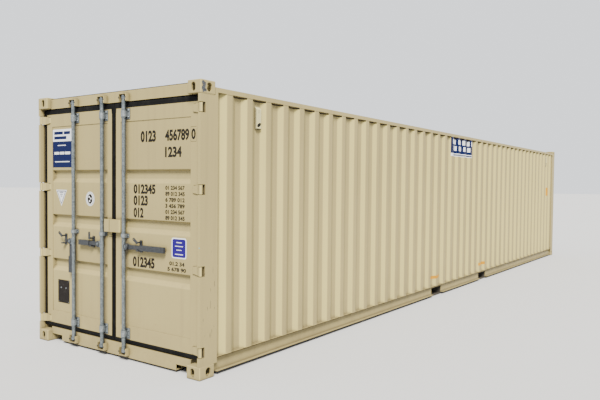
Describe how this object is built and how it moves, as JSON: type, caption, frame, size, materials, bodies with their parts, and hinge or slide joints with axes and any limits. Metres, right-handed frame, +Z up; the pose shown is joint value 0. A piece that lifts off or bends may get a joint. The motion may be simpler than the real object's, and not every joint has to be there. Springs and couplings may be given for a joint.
{
  "type": "shipping container",
  "caption": "Forty foot steel freight container with corrugated walls, hollow cargo space, hinged end doors with turning lock rods, and slotted corner fittings.",
  "frame": {"origin": "centre of the base, on the plane of the bottom corner fittings' undersides", "axes": "+X across towards the right-hand side seen from the door end, +Y along the container away from the doors, +Z up"},
  "size_m": [2.438, 12.192, 2.591],
  "materials": {
    "container_paint": "semi-gloss, weathered",
    "galvanised_steel": "dull zinc",
    "dark_steel": "worn zinc, dirty",
    "seal_rubber": "matt",
    "plywood": "worn",
    "plate_metal": "dull, printed dark",
    "vent_cream": "semi-gloss"
  },
  "bodies": {
    "container": {"bottom_corner_fittings": "container_paint", "cross_members": "container_paint", "door_header": "container_paint", "door_sill": "container_paint", "floor": "plywood", "fork_pockets": "container_paint", "front_header": "container_paint", "front_sill": "container_paint", "front_wall": "container_paint", "gooseneck_tunnel": "container_paint", "header_keepers": "container_paint", "hinge_pins": "dark_steel", "left_bottom_rail": "container_paint", "left_door_post": "container_paint", "left_front_post": "container_paint", "left_top_rail": "container_paint", "left_wall": "container_paint", "right_bottom_rail": "container_paint", "right_door_post": "container_paint", "right_front_post": "container_paint", "right_top_rail": "container_paint", "right_wall": "container_paint", "roof": "container_paint", "sill_keepers": "container_paint", "top_corner_fittings": "container_paint", "vents": "vent_cream"},
    "left_door": {"left_door_stiles": "container_paint", "left_door_rails": "container_paint", "left_door_panel": "container_paint", "left_door_gasket": "seal_rubber", "left_door_hinges": "container_paint", "left_rod_brackets": "galvanised_steel", "left_lock_box": "container_paint", "left_handle_catches": "dark_steel", "data_plate": "plate_metal"},
    "right_door": {"right_door_stiles": "container_paint", "right_door_rails": "container_paint", "right_door_panel": "container_paint", "right_door_gasket": "seal_rubber", "right_door_hinges": "container_paint", "right_rod_brackets": "galvanised_steel", "right_lock_box": "container_paint", "right_handle_catches": "dark_steel"},
    "left_outer_rod": {"left_outer_lock_rod": "galvanised_steel"},
    "left_outer_lever": {"left_outer_handle": "dark_steel"},
    "left_outer_flap": {"left_outer_catch_flap": "dark_steel"},
    "left_inner_rod": {"left_inner_lock_rod": "galvanised_steel"},
    "left_inner_lever": {"left_inner_handle": "dark_steel"},
    "left_inner_flap": {"left_inner_catch_flap": "dark_steel"},
    "right_rod": {"right_lock_rod": "galvanised_steel"},
    "right_lever": {"right_handle": "dark_steel"},
    "right_flap": {"right_catch_flap": "dark_steel"}
  },
  "joints": [
    {"name": "left_door_hinge", "type": "hinge", "parent": "container", "child": "left_door", "pos_m": [-1.199, -6.074, 1.2975], "axis": [0, 0, -1], "range_deg": [0, 260]},
    {"name": "right_door_hinge", "type": "hinge", "parent": "container", "child": "right_door", "pos_m": [1.199, -6.074, 1.2975], "axis": [0, 0, 1], "range_deg": [0, 260]},
    {"name": "left_outer_rod_turn", "type": "hinge", "parent": "left_door", "child": "left_outer_rod", "pos_m": [-0.63, -6.07, 1.0955], "axis": [0, 0, -1], "range_deg": [-100, 0]},
    {"name": "left_inner_rod_turn", "type": "hinge", "parent": "left_door", "child": "left_inner_rod", "pos_m": [-0.162, -6.07, 1.0955], "axis": [0, 0, -1], "range_deg": [-100, 0]},
    {"name": "right_rod_turn", "type": "hinge", "parent": "right_door", "child": "right_rod", "pos_m": [0.17, -6.07, 1.0955], "axis": [0, 0, 1], "range_deg": [-100, 0]},
    {"name": "left_outer_handle_lift", "type": "hinge", "parent": "left_outer_rod", "child": "left_outer_lever", "pos_m": [-0.675, -6.07, 1.0955], "axis": [0, 1, 0], "range_deg": [0, 60]},
    {"name": "left_inner_handle_lift", "type": "hinge", "parent": "left_inner_rod", "child": "left_inner_lever", "pos_m": [-0.207, -6.07, 1.0955], "axis": [0, 1, 0], "range_deg": [0, 7]},
    {"name": "right_handle_lift", "type": "hinge", "parent": "right_rod", "child": "right_lever", "pos_m": [0.215, -6.07, 1.0955], "axis": [0, -1, 0], "range_deg": [0, 5.5]},
    {"name": "left_outer_flap_swing", "type": "hinge", "parent": "left_door", "child": "left_outer_flap", "pos_m": [-0.805, -6.0905, 1.1455], "axis": [0, -1, 0], "range_deg": [0, 125]},
    {"name": "left_inner_flap_swing", "type": "hinge", "parent": "left_door", "child": "left_inner_flap", "pos_m": [-0.337, -6.0905, 1.1455], "axis": [0, -1, 0], "range_deg": [0, 180]},
    {"name": "right_flap_swing", "type": "hinge", "parent": "right_door", "child": "right_flap", "pos_m": [0.385, -6.0905, 1.1455], "axis": [0, -1, 0], "range_deg": [0, 125]}
  ]
}
